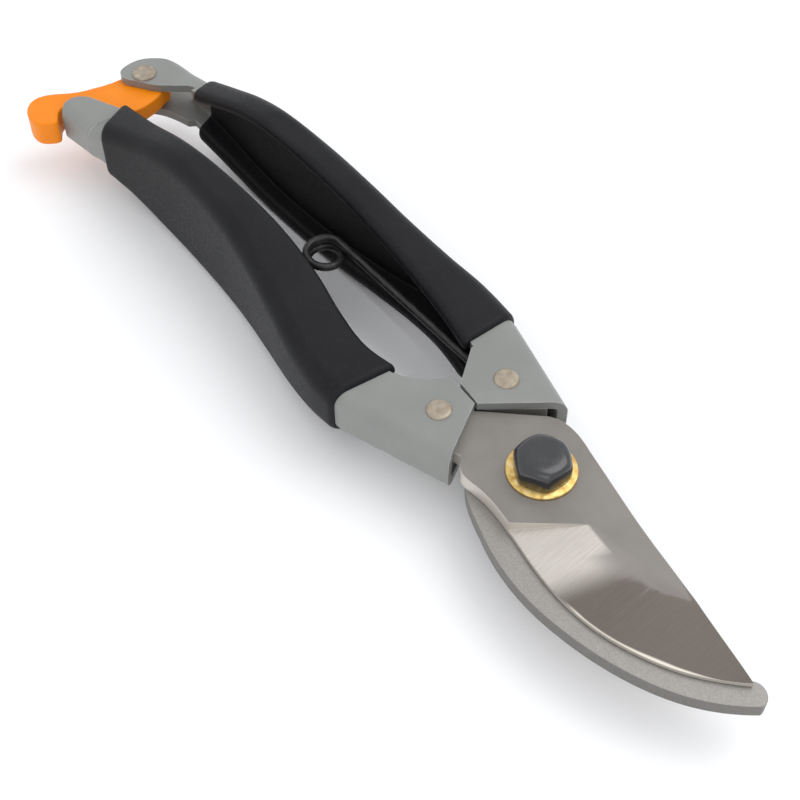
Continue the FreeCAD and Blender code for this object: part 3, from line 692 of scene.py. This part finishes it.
def add_spring():
    """One wire: a leg from the hook's handle, two turns of coil, and a leg to the other handle."""
    wire = 0.9
    coil = 3.85
    leg_height = 1.15
    coil_height = 1.75
    coil_x, coil_y = ((COIL - PIVOT) / MM)[:2]
    hook_end = (HOOK_LEG_END - PIVOT) / MM
    legs = []
    for (x, y), side in (((hook_end.x, hook_end.y), 1), (BLADE_LEG_END, -1)):
        reach = math.hypot(x - coil_x, y - coil_y)
        turn = math.atan2(y - coil_y, x - coil_x) + side * math.acos(coil / reach)
        legs.append((x, y, turn))
    (hook_x, hook_y, first), (blade_x, blade_y, last) = legs
    sweep = (last - first) % (2 * math.pi) + 2 * math.pi

    def on_coil(angle, height):
        return Vector((coil_x + coil * math.cos(angle), coil_y + coil * math.sin(angle), height))

    path = []
    leg_steps = 24
    for step in range(leg_steps):
        leg_end = Vector((hook_x, hook_y, leg_height))
        path.append(leg_end.lerp(on_coil(first, coil_height), step / leg_steps))
    turns = 88
    for step in range(turns + 1):
        share = step / turns
        path.append(on_coil(first + sweep * share, coil_height * (1.0 - 2.0 * share)))
    for step in range(1, leg_steps + 1):
        leg_end = Vector((blade_x, blade_y, -leg_height))
        path.append(on_coil(last, -coil_height).lerp(leg_end, step / leg_steps))

    vertices = []
    faces = []
    around = 16
    for index, point in enumerate(path):
        ahead = path[min(index + 1, len(path) - 1)] - path[max(index - 1, 0)]
        across = ahead.cross(Vector((0, 0, 1))).normalized()
        over = across.cross(ahead).normalized()
        for step in range(around):
            angle = 2 * math.pi * step / around
            vertices.append(at(*(point + (across * math.cos(angle) + over * math.sin(angle)) * wire)))
    for index in range(len(path) - 1):
        for step in range(around):
            beside = (step + 1) % around
            faces.append([index * around + step, index * around + beside,
                          (index + 1) * around + beside, (index + 1) * around + step])
    faces.append(list(range(around)))
    faces.append([(len(path) - 1) * around + step for step in range(around)])
    piece = new_piece("spring_whole", vertices, faces, "spring_wire", 60.0)
    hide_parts("spring_hook_leg", "spring_blade_leg")
    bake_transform(piece)


# ---------------------------------------------------------------- carried-over CAD nodes
def finish_cad_nodes():
    for node, slot in (("hook_handle_channel", "handle_paint"), ("blade_handle_channel", "handle_paint"),
                       ("hook_tang_spacer", "hook_steel"), ("blade_tang_spacer", "hook_steel")):
        for material_slot in nodes[node].material_slots:
            material_slot.material = MATERIALS[slot]


add_ground_blades()
add_moulded_latch()
add_grip("hook_grip_dipped", "hook_handle_grip", "hook_side", HOOK_CHANNEL, 1,
         ((-31.6, -32.2), (-128.6, -140.1)))
add_grip("blade_grip_dipped", "blade_handle_grip", "blade_side", BLADE_CHANNEL, -1,
         ((-34.6, -37.0), (-144.6, -124.4)))
add_rivets()
add_pivot()
add_spring()
finish_cad_nodes()


# ---------------------------------------------------------------- camera, floor and light
CAMERA_PLACE = (108.6, -114.7, 212.9)
CAMERA_HEADING = 143.05
CAMERA_PITCH = 50.5
LENS = 63.0


def add_camera():
    """Looks down on the tool from beyond the blade tips, on the cutting blade's handle's side."""
    camera_data = bpy.data.cameras.new("camera")
    camera_data.lens = LENS
    camera_data.sensor_width = 36.0
    camera_data.clip_start = 0.01
    camera = bpy.data.objects.new("camera", camera_data)
    camera.location = at(*CAMERA_PLACE)
    heading = math.radians(CAMERA_HEADING)
    pitch = math.radians(CAMERA_PITCH)
    level = math.cos(pitch)
    look = Vector((math.cos(heading) * level, math.sin(heading) * level, -math.sin(pitch)))
    camera.rotation_euler = look.to_track_quat("-Z", "Y").to_euler()
    bpy.context.scene.collection.objects.link(camera)
    bpy.context.scene.camera = camera


def add_area_light(name, place, aim, size, power):
    light_data = bpy.data.lights.new(name, "AREA")
    light_data.shape = "DISK"
    light_data.size = size
    light_data.energy = power
    light = bpy.data.objects.new(name, light_data)
    light.location = place
    light.rotation_euler = (Vector(aim) - Vector(place)).to_track_quat("-Z", "Y").to_euler()
    bpy.context.scene.collection.objects.link(light)


def add_studio():
    """A pale floor, an even white surround, a soft key light high on the hook's side and a weak fill."""
    floor_mesh = bpy.data.meshes.new("floor")
    half = 3.0
    floor_mesh.from_pydata([(-half, -half, 0), (half, -half, 0), (half, half, 0), (-half, half, 0)],
                           [], [(0, 1, 2, 3)])
    floor = bpy.data.objects.new("floor", floor_mesh)
    bpy.context.scene.collection.objects.link(floor)
    material = bpy.data.materials.new("floor_white")
    material.use_nodes = True
    shader = material.node_tree.nodes["Principled BSDF"]
    shader.inputs["Base Color"].default_value = (0.96, 0.96, 0.965, 1.0)
    shader.inputs["Roughness"].default_value = 0.8
    floor_mesh.materials.append(material)
    world = bpy.data.worlds.new("studio")
    world.use_nodes = True
    background = world.node_tree.nodes["Background"]
    background.inputs["Color"].default_value = (0.97, 0.98, 1.0, 1.0)
    background.inputs["Strength"].default_value = 1.0
    bpy.context.scene.world = world
    add_area_light("key", (0.10, 0.36, 0.70), PIVOT, 0.60, 1.5)
    add_area_light("fill", (0.45, -0.30, 0.45), PIVOT, 0.5, 0.5)
    bpy.context.scene.view_settings.view_transform = "Standard"


add_camera()
add_studio()
